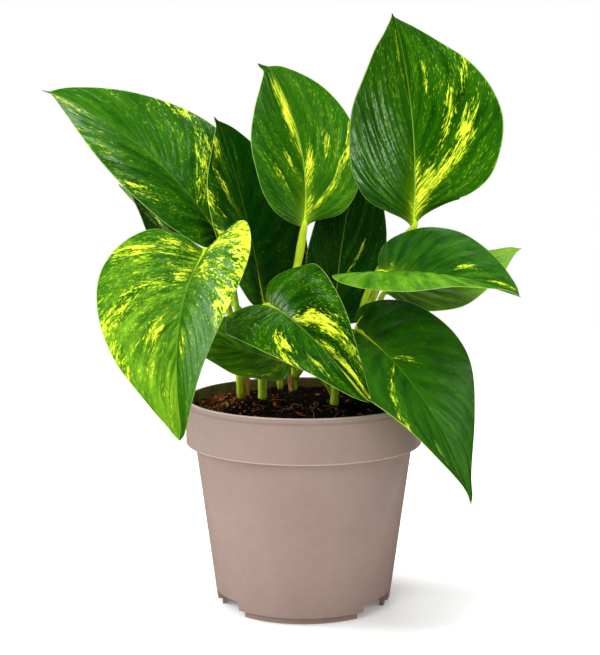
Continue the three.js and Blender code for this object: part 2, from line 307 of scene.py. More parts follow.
def softNoise(x, y, cell, seed, size=61):
    # random heights on a square lattice that repeats, joined smoothly, -1 to 1
    lattice = np.random.default_rng(seed).uniform(-1, 1, (size, size))
    gx, gy = x / cell, y / cell
    ix, iy = np.floor(gx).astype(int), np.floor(gy).astype(int)
    fx, fy = smoothStep(gx - ix, 0, 1), smoothStep(gy - iy, 0, 1)
    at = lambda i, j: lattice[(ix + i) % size, (iy + j) % size]
    return ((at(0, 0) * (1 - fx) + at(1, 0) * fx) * (1 - fy)
            + (at(0, 1) * (1 - fx) + at(1, 1) * fx) * fy)


# Leaves.

# at, yaw, pitch and roll place a blade's base, in millimetres and degrees; bend, sweep and
# twist build up along it. Pairs are for its left and right half: fold is the half's rise from
# the midrib, curl its turn back down, lobe how far its base reaches back, tone its lightness,
# partly its own green and partly painted light and shade, and rise what the tone gains from
# base to tip, partly as painted shade. belly moves the widest place towards the tip
# and hook turns the drip tip aside, in millimetres. climb is how fast side veins climb,
# laterals how many there are, relief how deep the ribbing is and stripe its share of the
# colour. flecks, matte, rib (the midrib's paleness) and glow (light at its foot) are strengths.
# splashes: side (-1 left, 1 right), place from midrib to margin, place from base to tip,
# reach along the veins, reach across them, strength. plainLeaf is what a leaf has unless it
# says otherwise.
plainLeaf = {"riseAndShade": (0.0, 0.0), "hook": 0.0, "climb": 0.18, "laterals": 13, "relief": 1.0,
             "stripe": 0.07, "matte": 0.0, "rib": 0.5, "glow": 0.4}
leaves = {
    "left_tall": {
        "at": (-41, 30, 182), "yaw": 157, "pitch": 55, "roll": -10, "length": 136, "width": 91,
        "bend": -37, "sweep": -5, "twist": -8, "fold": (23, 21), "curl": (36, 7),
        "lobe": (0.3, 0.6), "belly": -0.01, "tone": (0.34, 0.36), "riseAndShade": (0.5, 0.5),
        "flecks": 0.6, "hook": -3.5, "relief": 1.5, "laterals": 16, "matte": 0.15, "rib": 0.22,
        "glow": 0.1, "seed": 1.7,
        "splashes": [(1, 0.5, 0.48, 0.36, 0.03, 0.5), (1, 0.95, 0.60, 0.12, 0.03, 0.42),
                     (-1, 0.75, 0.86, 0.30, 0.05, 0.42), (1, 0.25, 0.42, 0.15, 0.03, 0.4),
                     (-1, 0.85, 0.45, 0.2, 0.03, 0.35),
                     (1, 0.9, 0.5, 0.5, 0.4, 0.14), (-1, 0.8, 0.7, 0.4, 0.4, 0.16)],
    },
    "left_inner": {
        "at": (-21, 24, 152), "yaw": 117, "pitch": 70, "roll": 24, "length": 104, "width": 75,
        "bend": -9, "sweep": -5, "twist": -13, "fold": (30, 19), "curl": (30, 25),
        "lobe": (0.4, 0.6), "belly": 0.0, "tone": (0.22, 0.05), "flecks": 0.3, "hook": -2.5,
        "rib": 0.35, "glow": 0.15, "matte": 0.25, "seed": 8.3,
        "splashes": [(-1, 0.88, 0.78, 0.12, 0.04, 0.7), (-1, 0.6, 0.64, 0.3, 0.02, 0.5),
                     (-1, 0.9, 0.56, 0.2, 0.03, 0.5), (-1, 0.8, 0.44, 0.2, 0.02, 0.4),
                     (-1, 0.7, 0.6, 0.5, 0.3, 0.14)],
    },
    "centre_tall": {
        "at": (0, 17, 191), "yaw": 75, "pitch": 63, "roll": 24, "length": 101, "width": 62,
        "bend": -11, "sweep": -36, "twist": -5, "fold": (29, 27), "curl": (11, 4),
        "lobe": (0.1, -0.2), "belly": 0.03, "tone": (0.38, 0.50), "riseAndShade": (-0.1, -0.1),
        "flecks": 0.7, "glow": 1.0, "hook": -5.0, "climb": 0.34, "matte": 0.4, "rib": 0.9,
        "seed": 15.1,
        "splashes": [(-1, 0.22, 0.78, 0.20, 0.075, 1.0), (-1, 0.55, 0.83, 0.16, 0.03, 0.6),
                     (-1, 0.05, 0.86, 0.06, 0.06, 0.7), (-1, 0.05, 0.66, 0.06, 0.05, 0.75),
                     (1, 0.10, 0.52, 0.10, 0.05, 0.8), (1, 0.72, 0.46, 0.28, 0.02, 0.58),
                     (1, 0.42, 0.36, 0.24, 0.025, 0.55), (-1, 0.3, 0.52, 0.12, 0.02, 0.5),
                     (1, 0.08, 0.26, 0.1, 0.08, 0.5), (1, 0.5, 0.56, 0.1, 0.03, 0.5),
                     (-1, 0.5, 0.42, 0.16, 0.015, 0.42),
                     (1, 0.6, 0.5, 0.7, 0.4, 0.14), (-1, 0.6, 0.5, 0.7, 0.5, 0.12)],
    },
    "front_left": {
        "at": (-49, -2, 182), "yaw": -111, "pitch": -24, "roll": 10, "length": 115, "width": 88,
        "bend": -52, "sweep": -14, "twist": 10, "fold": (38, 50), "curl": (40, 32),
        "lobe": (0.6, 0.2), "belly": -0.03, "tone": (0.48, 0.68), "riseAndShade": (0.0, 0.6),
        "flecks": 0.9, "hook": 2.0, "relief": 1.3, "laterals": 20, "matte": 0.5, "rib": 0.45,
        "seed": 22.9,
        "splashes": [(1, 0.72, 0.355, 0.26, 0.024, 0.66), (1, 0.5, 0.24, 0.34, 0.04, 0.5),
                     (1, 0.5, 0.50, 0.45, 0.022, 0.42), (1, 0.3, 0.30, 0.3, 0.02, 0.4),
                     (1, 0.38, 0.66, 0.14, 0.028, 0.68), (1, 0.82, 0.58, 0.2, 0.022, 0.62),
                     (1, 0.15, 0.40, 0.12, 0.06, 0.42), (1, 0.95, 0.68, 0.1, 0.04, 0.5),
                     (1, 0.6, 0.74, 0.16, 0.018, 0.48), (1, 0.6, 0.86, 0.35, 0.04, 0.32),
                     (-1, 0.97, 0.38, 0.22, 0.11, 0.8), (-1, 0.35, 0.42, 0.3, 0.05, 0.5),
                     (-1, 0.9, 0.58, 0.2, 0.04, 0.6), (-1, 0.5, 0.28, 0.4, 0.05, 0.65),
                     (-1, 0.25, 0.72, 0.15, 0.03, 0.4),
                     (1, 0.5, 0.5, 0.9, 0.6, 0.19), (-1, 0.5, 0.5, 0.9, 0.6, 0.14)],
    },
    "top": {
        "at": (57, 28, 191), "yaw": 80, "pitch": 61, "roll": 8, "length": 127, "width": 98,
        "bend": 1, "sweep": -17, "twist": 36, "fold": (31, 29), "curl": (-5, -10),
        "lobe": (0, -0.4), "belly": 0.05, "tone": (0.38, 0.34), "flecks": 0.65, "glow": 1.0,
        "hook": -2.0, "climb": 0.32, "relief": 1.25, "laterals": 16, "rib": 0.9, "seed": 29.3,
        "splashes": [(1, 0.10, 0.34, 0.10, 0.07, 0.85), (1, 0.36, 0.41, 0.30, 0.028, 0.72),
                     (1, 0.62, 0.52, 0.13, 0.03, 0.74), (1, 0.50, 0.60, 0.13, 0.024, 0.66),
                     (1, 0.45, 0.76, 0.07, 0.014, 0.5), (1, 0.36, 0.73, 0.07, 0.014, 0.52),
                     (1, 0.10, 0.22, 0.12, 0.05, 0.75), (1, 0.03, 0.44, 0.03, 0.05, 0.6),
                     (-1, 0.05, 0.22, 0.05, 0.05, 0.55), (-1, 0.45, 0.84, 0.2, 0.012, 0.5),
                     (1, 0.85, 0.66, 0.2, 0.02, 0.4), (1, 0.35, 0.52, 0.2, 0.014, 0.42),
                     (1, 0.6, 0.6, 0.7, 0.4, 0.13), (-1, 0.5, 0.75, 0.7, 0.2, 0.12)],
    },
    "front_middle": {
        "at": (-18, -15, 156), "yaw": -74, "pitch": 4, "roll": 31, "length": 94, "width": 59,
        "bend": -73, "sweep": -5, "twist": 0, "fold": (42, 22), "curl": (45, 23),
        "lobe": (1.1, 1.2), "belly": -0.14, "tone": (0.26, 0.36), "riseAndShade": (-0.4, -0.4),
        "flecks": 0.55, "hook": -1.0, "climb": 0.24, "rib": 0.4, "glow": 0.35, "seed": 36.7,
        "splashes": [(-1, 0.38, 0.645, 0.34, 0.035, 0.95), (-1, 0.5, 0.85, 0.4, 0.03, 0.85),
                     (-1, 0.05, 0.92, 0.5, 0.035, 0.95), (1, 0.1, 0.92, 0.3, 0.035, 0.9),
                     (1, 0.58, 0.63, 0.15, 0.03, 0.68), (1, 0.65, 0.76, 0.15, 0.02, 0.5),
                     (1, 0.9, 0.66, 0.1, 0.03, 0.5), (-1, 0.8, 0.76, 0.2, 0.03, 0.5),
                     (1, 0.6, 0.5, 0.6, 0.4, 0.14), (-1, 0.7, 0.7, 0.5, 0.2, 0.16)],
    },
    "right_side": {
        "at": (38, 4, 170), "yaw": -18, "pitch": 5, "roll": 12, "length": 75, "width": 71,
        "bend": -24, "sweep": 7, "twist": -7, "fold": (41, 27), "curl": (29, 55),
        "lobe": (0.3, 2), "belly": -0.05, "tone": (0.30, 0.74), "riseAndShade": (0.3, 0.0),
        "flecks": 0.1, "hook": 1.5, "matte": 0.5, "rib": 0.45, "seed": 43.1,
        "splashes": [(-1, 0.6, 0.87, 0.25, 0.02, 0.6), (-1, 0.35, 0.68, 0.12, 0.018, 0.55),
                     (-1, 0.08, 0.22, 0.2, 0.03, 0.4),
                     (-1, 0.4, 0.8, 0.5, 0.2, 0.14)],
    },
    "back_middle": {
        "at": (16, 35, 137), "yaw": 76, "pitch": 80, "roll": 45, "length": 106, "width": 56,
        "bend": 6, "sweep": 13, "twist": -2, "fold": (32, 5), "curl": (22, 5),
        "lobe": (0.1, 0), "belly": 0.0, "tone": (0.05, 0.10), "flecks": 0.3, "climb": 0.36,
        "relief": 0.35, "stripe": 0.0, "rib": 0.45, "glow": 0.15, "seed": 50.9,
        "splashes": [(1, 0.3, 0.50, 0.25, 0.015, 0.42), (-1, 0.8, 0.7, 0.2, 0.02, 0.42)],
    },
    "right_under": {
        "at": (41.5, 19.8, 158), "yaw": 27, "pitch": 14, "roll": 15, "length": 86, "width": 68,
        "bend": -2, "sweep": 0, "twist": -10, "fold": (11, 6), "curl": (60, 31),
        "lobe": (-0.6, 0.2), "belly": -0.03, "tone": (0.95, 0.95), "riseAndShade": (0.5, 0.5),
        "flecks": 0.3, "hook": 1.5, "matte": 0.5, "seed": 57.3,
        "splashes": [(-1, 0.12, 0.74, 0.12, 0.02, 0.5), (1, 0.85, 0.6, 0.2, 0.03, 0.5),
                     (1, 0.3, 0.9, 0.4, 0.04, 0.48), (-1, 0.3, 0.92, 0.4, 0.04, 0.48)],
    },
    "front_right": {
        "at": (28, -11, 142), "yaw": -51, "pitch": -19, "roll": 18, "length": 110, "width": 82,
        "bend": -72, "sweep": -3, "twist": -42, "fold": (12, 16), "curl": (8, 19),
        "lobe": (1.1, 1), "belly": -0.05, "tone": (0.40, 0.32), "riseAndShade": (0.4, 0.4),
        "flecks": 0.1, "hook": -1.0, "matte": 0.6, "rib": 0.22, "glow": 0.2, "seed": 64.1,
        "splashes": [(1, 0.5, 0.545, 0.4, 0.011, 0.5), (1, 0.85, 0.60, 0.15, 0.014, 0.46),
                     (1, 0.75, 0.72, 0.15, 0.015, 0.42), (-1, 0.15, 0.45, 0.15, 0.012, 0.42)],
    },
    "back_left": {
        "at": (-52, 46, 159), "yaw": 134, "pitch": 37, "roll": 18, "length": 88, "width": 66,
        "bend": -5, "sweep": 0, "twist": 19, "fold": (19, 15), "curl": (28, 25),
        "lobe": (1, 1), "belly": -0.02, "tone": (0.3, 0.25), "flecks": 0.5, "seed": 71.9,
        "splashes": [(-1, 0.7, 0.6, 0.3, 0.03, 0.5), (1, 0.4, 0.7, 0.2, 0.03, 0.5)],
    },
    "low": {
        "at": (-6, -11, 125), "yaw": 184, "pitch": 21, "roll": -59, "length": 58, "width": 37,
        "bend": -13, "sweep": -9, "twist": 3, "fold": (24, 20), "curl": (0, 12),
        "lobe": (0.2, 0.3), "belly": 0.05, "tone": (0.75, 0.75), "flecks": 0.3, "rib": 0.3,
        "glow": 0.1, "seed": 78.7,
        "splashes": [(-1, 0.35, 0.3, 0.2, 0.03, 0.4), (-1, 0.8, 0.4, 0.15, 0.03, 0.5)],
    },
}

leaves = {name: plainLeaf | leaf for name, leaf in leaves.items()}

# what all blades share, in millimetres; grooveWidth is a share of the side veins' spacing,
# and rows and halfColumns are the grid's
blade = {"thickness": 0.5, "edge": 0.22, "rows": 156, "halfColumns": 34, "grooveDepth": 0.34,
         "grooveWidth": 0.17, "pillow": 0.26, "ridge": 1.1, "ridgeWidth": 1.5, "wave": 0.6,
         "ripple": 0.3, "trough": 0.3, "troughWidth": 0.9, "crease": 0.7, "glowWidth": 2.6}


def halfMargin(t, lobe, belly):
    # half a heart-shaped outline from the notch (t 0) to the tip (t 1), widest at t 0.44:
    # x as a share of the half width, y as a share of the length
    corners = [(0, 0), (0.13, 0.02 - 0.10 * lobe), (0.37, 0.03 - 0.15 * lobe),
               (0.65, 0.06 - 0.125 * lobe), (0.89, 0.17 - 0.065 * lobe), (1.0, 0.33 + belly),
               (0.92, 0.50 + belly), (0.70, 0.68 + 0.7 * belly), (0.40, 0.83 + 0.4 * belly),
               (0.14, 0.945), (0, 1.0)]
    steps = 901
    fine = smoothCurve(corners, steps)
    share = np.interp(np.linspace(0, 1, steps), [0, 0.5, 1], [0, 0.444, 1])
    return np.stack([np.interp(t, share, fine[:, 0]), np.interp(t, share, fine[:, 1])], -1)


def midribFrame(leaf, steps=161):
    # the midrib bends in its own plane, sweeps sideways and twists, each in step with length
    along = np.linspace(0, 1, steps)
    yaw, pitch, roll = (math.radians(leaf[key]) for key in ("yaw", "pitch", "roll"))
    forward = np.array([math.cos(pitch) * math.cos(yaw), math.cos(pitch) * math.sin(yaw),
                        math.sin(pitch)])
    level = np.array([-math.sin(pitch) * math.cos(yaw), -math.sin(pitch) * math.sin(yaw),
                      math.cos(pitch)])
    side = np.cross(forward, level)
    up = level * math.cos(roll) + side * math.sin(roll)
    across = side * math.cos(roll) - level * math.sin(roll)
    bend, sweep, twist = (np.radians(leaf[key]) * along[:, None]
                          for key in ("bend", "sweep", "twist"))
    tangent = (np.cos(bend) * np.cos(sweep) * forward + np.cos(bend) * np.sin(sweep) * across
               + np.sin(bend) * up)
    lifted = (-np.sin(bend) * (np.cos(sweep) * forward + np.sin(sweep) * across)
              + np.cos(bend) * up)
    beside = np.cross(tangent, lifted)
    normal = lifted * np.cos(twist) + beside * np.sin(twist)
    right = beside * np.cos(twist) - lifted * np.sin(twist)
    stride = leaf["length"] / (steps - 1)
    centre = np.vstack([np.zeros(3),
                        np.cumsum((tangent[1:] + tangent[:-1]) / 2 * stride, axis=0)])
    return along, centre + np.array(leaf["at"], float), tangent, right, normal


def bladeSurface(leaf, x, y):
    # x across and y along in millimetres: each half leaves the midrib at its fold angle and
    # curls down again in a circular arc; the crease along the midrib is rounded
    along, centre, tangent, right, normal = midribFrame(leaf)
    share = np.clip(y / leaf["length"], 0, 1)
    at = lambda field: np.stack([np.interp(share, along, field[:, k]) for k in range(3)], -1)
    base = at(centre) + at(tangent) * np.minimum(y, 0)[..., None]
    isRight = x >= 0
    fold = np.radians(np.where(isRight, leaf["fold"][1], leaf["fold"][0]))
    curl = np.radians(np.where(isRight, leaf["curl"][1], leaf["curl"][0])) / (leaf["width"] / 2)
    curl = np.where(np.abs(curl) < 1e-6, 1e-6, curl)
    reach = np.abs(x)
    soft = np.sqrt(reach**2 + blade["crease"]**2) - blade["crease"]
    out = (np.sin(fold) - np.sin(fold - curl * reach)) / curl
    lift = (np.cos(fold - curl * soft) - np.cos(fold)) / curl
    return base + at(right) * (out * np.sign(x))[..., None] + at(normal) * lift[..., None]


def bladeGrid():
    # rows from base to tip, closer together at both ends; columns closer at midrib and margin
    row = np.linspace(0, 1, blade["rows"] + 2)[1:-1]
    row = 0.5 * row + 0.5 * (0.5 - 0.5 * np.cos(np.pi * row))
    half = np.linspace(0, 1, blade["halfColumns"])
    half = 0.45 * half + 0.55 * (0.5 - 0.5 * np.cos(np.pi * half))
    column = np.concatenate([-half[::-1], half[1:]])
    return np.meshgrid(row, column, indexing="ij")


def veinPlace(leaf, a, s):
    # the value that stays the same along a side vein, which climbs towards the margin,
    # fastest where it leaves the midrib
    return a - leaf["climb"] * s**0.8


def splashField(leaf, a, t):
    # the strongest of the leaf's splashes at each point, each one fading as a bell curve
    field = np.zeros_like(a)
    for side, outward, along, reach, breadth, strength in leaf["splashes"]:
        own = smoothStep(t * side, -0.02, 0.02)
        s = np.abs(t)
        shift = veinPlace(leaf, a, s) - veinPlace(leaf, along, outward)
        bump = np.exp(-(((s - outward) / (1.2 * reach)) ** 2) - (shift / (1.5 * breadth)) ** 2)
        field = np.maximum(field, strength * bump * own)
    return field


def bladeOutline(leaf, a, t):
    # x and y in millimetres, on quadratic curves that leave the midrib for the margin
    s = np.abs(t)
    left, right = (halfMargin(a, lobe, leaf["belly"]) for lobe in leaf["lobe"])
    endX = np.where(t >= 0, right[..., 0], -left[..., 0])
    endY = np.where(t >= 0, right[..., 1], left[..., 1])
    start = a**1.7
    middleX, middleY = 0.5 * endX, start + 0.38 * (endY - start)
    x = (2 * s * (1 - s) * middleX + s * s * endX) * leaf["width"] / 2
    y = ((1 - s) ** 2 * start + 2 * s * (1 - s) * middleY + s * s * endY) * leaf["length"]
    # the drip tip turns a little to one side
    return x + leaf["hook"] * smoothStep(y / leaf["length"], 0.90, 1.0) ** 2, y


def bladeRelief(leaf, a, t, x):
    # side veins pressed in with the blade swelling between them, waves growing towards the
    # margin, and a trough along the midrib; also the ribbing alone, for the colour
    phase = np.random.default_rng(int(leaf["seed"] * 10)).uniform(0, 1, 6)
    s = np.abs(t)
    place = veinPlace(leaf, a, s) * leaf["laterals"] + np.where(t > 0, phase[0], phase[1]) * 0.6
    place = place + 0.12 * np.sin(5 * s + 6 * phase[2])
    offset = place - np.round(place)
    inside = (smoothStep(s, 0.02, 0.22) * (1 - smoothStep(s, 0.72, 1.0))
              * smoothStep(a, 0.05, 0.2) * (1 - smoothStep(a, 0.72, 0.95)))
    ribbing = inside * np.cos(2 * np.pi * offset)
    groove = -blade["grooveDepth"] * np.exp(-((offset / blade["grooveWidth"]) ** 2))
    veinlets = 0.07 * np.cos(2 * np.pi * (place * 3 + phase[3]))
    relief = (inside * (groove + veinlets) - blade["pillow"] * ribbing) * leaf["relief"]
    waves = (blade["wave"] * np.sin(2 * np.pi * (2.2 * a + phase[4])) * s**2
             + blade["ripple"] * np.sin(2 * np.pi * (4.7 * a + phase[5] + 0.3 * np.sign(t))) * s**3)
    relief += waves * smoothStep(a, 0.0, 0.15) * (1 - smoothStep(a, 0.85, 1.0))
    trough = np.exp(-((x / blade["troughWidth"]) ** 2)) * (1 - smoothStep(a, 0.6, 1.0))
    return relief - blade["trough"] * trough * smoothStep(a, 0.0, 0.06), ribbing


def bladeThickness(a, s, x):
    # thinner at the margin and the tip; then the ridge that stands under the midrib
    thick = blade["edge"] + (blade["thickness"] - blade["edge"]) * (1 - smoothStep(s, 0.86, 1.0))
    ridge = (blade["ridge"] * np.exp(-((x / blade["ridgeWidth"]) ** 2)) * (1 - a) ** 0.8
             * smoothStep(a, 0.0, 0.03))
    return thick * (1 - 0.6 * smoothStep(a, 0.93, 1.0)), ridge


def bothSides(field, first, last):
    # a field of the grid on the upper and the under side, with its values at base and tip
    return np.concatenate([[first], np.concatenate([field, field[:, ::-1]], axis=1).ravel(),
                           [last]])


def bladeValues(leaf, a, t, x, ribbing, count):
    # what the materials read at each point
    s = np.abs(t)
    # the tone is partly the leaf's own green and partly painted light and shade; its gain from base
    # to tip is partly painted shade
    left, right = leaf["tone"]
    tone = left + (right - left) * smoothStep(t, -0.015, 0.015)
    tone = tone + np.where(t > 0, leaf["riseAndShade"][1], leaf["riseAndShade"][0]) * (a - 0.5)
    tone = tone + leaf["stripe"] * ribbing
    glow = np.exp(-np.abs(x) / blade["glowWidth"]) * (1 - smoothStep(a, 0.05, 0.55))
    values = {
        "splash": bothSides(splashField(leaf, a, t), 0.0, 0.0),
        "tone": bothSides(tone, (left + right) / 2, (left + right) / 2),
        "across": bothSides(np.abs(x), 0.0, 0.0),
        "vein": bothSides(veinPlace(leaf, a, s), 0.0, 1.0),
        "glow": bothSides(glow * leaf["glow"], leaf["glow"], 0.0),
    }
    for label, key in (("flecks", "flecks"), ("leafSeed", "seed"), ("matte", "matte"),
                       ("ribPaint", "rib")):
        values[label] = np.full(count, leaf[key])
    return values


def leafPiece(name, leaf):
    # a closed blade: rows round the upper and the under side, from the base to the tip
    a, t = bladeGrid()
    x, y = bladeOutline(leaf, a, t)
    surface = bladeSurface(leaf, x, y)
    normal = np.cross(np.gradient(surface, axis=1), np.gradient(surface, axis=0))
    normal /= np.maximum(np.linalg.norm(normal, axis=-1), 1e-9)[..., None]
    relief, ribbing = bladeRelief(leaf, a, t, x)
    surface = surface + normal * relief[..., None]
    thick, ridge = bladeThickness(a, np.abs(t), x)
    upper = surface + normal * (thick / 2)[..., None]
    under = surface - normal * (thick / 2 + ridge)[..., None]
    rings = np.concatenate([upper, under[:, ::-1]], axis=1)
    ends = bladeSurface(leaf, np.array([0.0, leaf["hook"]]), np.array([0.0, leaf["length"]]))
    points, faces = closedRings(rings, ends[0], ends[1])
    isUnder = np.arange(rings.shape[1]) >= rings.shape[1] // 2
    return addPiece("blade_" + name, points, faces, [upperFinish, underFinish],
                    ["leaf_" + name],
                    uv=np.stack([bothSides((t + 1) / 2, 0.5, 0.5), bothSides(a, 0.0, 1.0)], -1),
                    values=bladeValues(leaf, a, t, x, ribbing, len(points)),
                    faceMaterial=np.tile(isUnder, rings.shape[0] + 1).astype(int))


leafColours = {
    "deep": colour(0.0012, 0.028, 0.0006), "mid": colour(0.017, 0.104, 0.0004),
    "light": colour(0.16, 0.38, 0.014), "lime": colour(0.33, 0.50, 0.010),
    "cream": colour(0.86, 0.85, 0.050), "rib": colour(0.26, 0.44, 0.04),
    "edge": colour(0.42, 0.58, 0.13), "underDeep": colour(0.05, 0.16, 0.018),
    "sheen": colour(0.72, 1.0, 0.55), "underLight": colour(0.13, 0.29, 0.045),
    "underRib": colour(0.28, 0.42, 0.08),
}
# noise drawn out along the side veins: steps across them, steps outwards, detail, roughness
leafGrain = {
    "long": (62.0, 5.5, 4.0, 0.62), "underLong": (62.0, 5.5, 3.0, 0.6),
    "fine": (150.0, 17.0, 3.0, 0.6), "speck": (260.0, 38.0, 2.0, 0.5),
    "broad": (14.0, 2.2, 2.0, 0.5), "fleck": (230.0, 24.0, 2.0, 0.5),
    "holes": (210.0, 60.0, 2.0, 0.6), "cord": (34.0, 3.0, 2.0, 0.4),
}


def bladePlace(tree):
    # the blade's own grid: signed place across and place along
    uv = add(tree, "ShaderNodeUVMap", uv_map="leafUv").outputs["UV"]
    parts = add(tree, "ShaderNodeSeparateXYZ", {0: uv})
    return weighted(tree, -1.0, (parts.outputs[0], 2.0)), parts.outputs[1]


def streaks(tree, signed, kind):
    across, outward, detail, roughness = leafGrain[kind]
    vector = add(tree, "ShaderNodeCombineXYZ",
                 {0: product(tree, attribute(tree, "vein"), across),
                  1: product(tree, signed, outward),
                  2: attribute(tree, "leafSeed")}).outputs[0]
    return noise(tree, vector, 1.0, detail, roughness)


def leafGreen(tree, grain):
    # from deep to light green by the leaf's tone, which carries painted light and shade as well as
    # the leaf's own green, with lime light at the midrib's foot
    tone = weighted(tree, -0.75, (attribute(tree, "tone"), 1.0), (grain["broad"], 0.7),
                    (grain["long"], 0.45), (grain["fine"], 0.35))
    green = blend(tree, step(tree, tone, 0.0, 0.55), leafColours["deep"], leafColours["mid"])
    green = blend(tree, step(tree, tone, 0.5, 1.15), green, leafColours["light"])
    return blend(tree, attribute(tree, "glow"), green, leafColours["lime"])


def splashed(tree, grain, green):
    # single flecks, then lime and cream where the splash field, broken up by grain, is high
    field = attribute(tree, "splash")
    fleck = weighted(tree, grain["fleck"], (attribute(tree, "flecks"), 0.07),
                     (grain["broad"], 0.3), (field, 0.25))
    rough = weighted(tree, -3.3, (grain["long"], 3.0), (grain["fine"], 2.2),
                     (grain["speck"], 1.4))
    amount = weighted(tree, field, (rough, step(tree, field, 0.0, 0.35, 0.3, 1.0)))
    cream = product(tree, step(tree, amount, 0.55, 0.95),
                    step(tree, grain["holes"], 0.36, 0.56, 0.25, 1.0))
    paint = blend(tree, step(tree, fleck, 0.85, 0.93, 0.0, 0.6), green, leafColours["lime"])
    paint = blend(tree, step(tree, amount, 0.36, 0.66), paint, leafColours["lime"])
    return blend(tree, cream, paint, leafColours["cream"])


def upperLeafMaterial():
    made = newMaterial("leafUpper", 0.3, 0.26)
    tree = made[1]
    made[2].inputs["Specular Tint"].default_value = leafColours["sheen"]
    signed, along = bladePlace(tree)
    grain = {kind: streaks(tree, signed, kind) for kind in leafGrain if kind != "underLong"}
    paint = splashed(tree, grain, leafGreen(tree, grain))
    # pale midrib, fading towards the tip, and a thin pale margin
    rib = product(tree, step(tree, attribute(tree, "across"), 0.2, 0.55, 1.0, 0.0),
                  step(tree, along, 0.3, 1.0, 0.9, 0.25))
    rib = product(tree, rib, attribute(tree, "ribPaint"))
    paint = blend(tree, rib, paint, leafColours["rib"])
    margin = step(tree, calc(tree, "ABSOLUTE", signed), 0.988, 0.999, 0.0, 0.7)
    paint = blend(tree, margin, paint, leafColours["edge"])
    # parallel veinlets and a pebbled skin
    pebbles = noise(tree, objectPlace(tree), 160.0, 2.0, 0.45)
    height = weighted(tree, grain["cord"], (pebbles, 0.5))
    gloss = weighted(tree, 0.17, (grain["broad"], 0.14), (attribute(tree, "matte"), 0.35))
    return painted(made, paint, height, 0.0013, 0.6, gloss)


def underLeafMaterial():
    # paler than the upper side and matt; the splashes show through, and the veins stand out
    made = newMaterial("leafUnder", 0.5, 0.25)
    tree = made[1]
    signed = bladePlace(tree)[0]
    long, broad = (streaks(tree, signed, kind) for kind in ("underLong", "broad"))
    tone = weighted(tree, 0.0, (long, 0.3), (broad, 0.8))
    paint = blend(tree, step(tree, tone, 0.3, 0.8), leafColours["underDeep"],
                  leafColours["underLight"])
    amount = weighted(tree, -0.95, (attribute(tree, "splash"), 1.0), (long, 1.9))
    paint = blend(tree, step(tree, amount, 0.36, 0.6, 0.0, 0.6), paint, leafColours["edge"])
    rib = step(tree, attribute(tree, "across"), 0.5, 1.8, 0.8, 0.0)
    paint = blend(tree, rib, paint, leafColours["underRib"])
    veins = product(tree, attribute(tree, "vein"), float(plainLeaf["laterals"]))
    veins = step(tree, calc(tree, "PINGPONG", veins, 0.5), 0.02, 0.12, 0.3, 0.0)
    paint = blend(tree, veins, paint, leafColours["underRib"])
    return painted(made, paint, noise(tree, objectPlace(tree), 900.0), 0.0004, 0.5)


upperFinish = upperLeafMaterial()
underFinish = underLeafMaterial()
for leafName, leafSettings in leaves.items():
    leafPiece(leafName, leafSettings)
print("leaves:", len(leaves))


# Leaf stalks and stems.

# paths in millimetres; a stalk's path starts in its stem and ends short of the blade's base
stalks = {
    "left_tall": {"path": [(-33, 14, 117), (-34, 24, 142), (-38, 30, 166)], "diameter": 3.2},
    "left_inner": {"path": [(-5, 27, 124), (-10, 27, 137), (-17, 25, 147)], "diameter": 3.0},
    "centre_tall": {"path": [(-21, 0, 126), (-15, 8, 144), (-5, 15, 166)], "diameter": 4.0},
    "front_left": {"path": [(-33.5, 13, 126), (-39, 12, 152), (-46, 8, 172)], "diameter": 3.8},
    "top": {"path": [(29, 22, 116), (29, 27, 138), (33.5, 29.5, 157), (45, 31, 177)],
            "diameter": 3.6},
    "front_middle": {"path": [(-21, 0, 121), (-23, 2, 138), (-22, -3, 151)], "diameter": 3.0},
    "right_side": {"path": [(29, 22, 126), (30, 18, 143), (36, 12, 157)], "diameter": 3.0},
    "back_middle": {"path": [(-5, 27, 112), (2, 29.5, 120), (9.5, 33, 129)], "diameter": 2.8,
                    "extras": [{"path": [(2, 28, 122), (7, 27.5, 150), (4.5, 27, 170),
                                         (0.7, 26.5, 179)], "radius": 1.0}]},
    "right_under": {"path": [(29, 22, 122), (33.5, 21, 138), (38, 20, 150)], "diameter": 2.8},
    "front_right": {"path": [(16, -14, 118), (20, -12, 130), (26, -10, 138)], "diameter": 3.4,
                    "extras": [{"path": [(26, -12, 139), (25.4, -17, 144), (27, -17, 148),
                                         (29.4, -16, 151)], "radius": 0.3}]},
    "back_left": {"path": [(-14, 40, 118), (-26, 44, 138), (-43, 47, 153)], "diameter": 2.8},
    "low": {"path": [(15.5, -14.5, 110), (9, -13, 119), (0, -12, 124)], "diameter": 2.6},
}
stems = {
    "left": {"path": [(-32, 15, 90), (-32, 14, 101), (-33.5, 13, 128)], "diameter": 4.8},
    "front_left": {"path": [(-20.5, 0, 90), (-21, -1, 101), (-21, 0, 128)], "diameter": 4.5},
    "front_right": {"path": [(14, -14, 90), (15, -15, 101), (16, -14, 120)], "diameter": 4.2},
    "back": {"path": [(-5, 26.5, 90), (-5, 27, 101), (-5, 27, 126)], "diameter": 3.0},
    "back_left": {"path": [(-11.5, 38.5, 90), (-12, 39, 101), (-14, 40, 120)], "diameter": 3.0},
    "right": {"path": [(27, 23, 90), (28, 23, 101), (29, 22, 128)], "diameter": 4.0},
}
# ribPlaces: millimetres along the midrib; clasp, knuckle and groove: shares of the radius
stalkShape = {"steps": 73, "ribPlaces": (5.0, 11.0, 18.0), "clasp": 0.40, "knuckle": 0.12,
              "groove": 0.12}
# scars: heights in millimetres, and the last one's depth below the top; swell and ripple:
# shares of the radius
stemShape = {"scars": (106.5, 117.0), "topScar": 2.5, "swell": 0.07, "ripple": 0.03}
stalkColours = {"pale": colour(0.50, 0.62, 0.020), "green": colour(0.34, 0.54, 0.008),
                "paintedShade": colour(0.12, 0.20, 0.008), "scar": colour(0.16, 0.11, 0.03)}


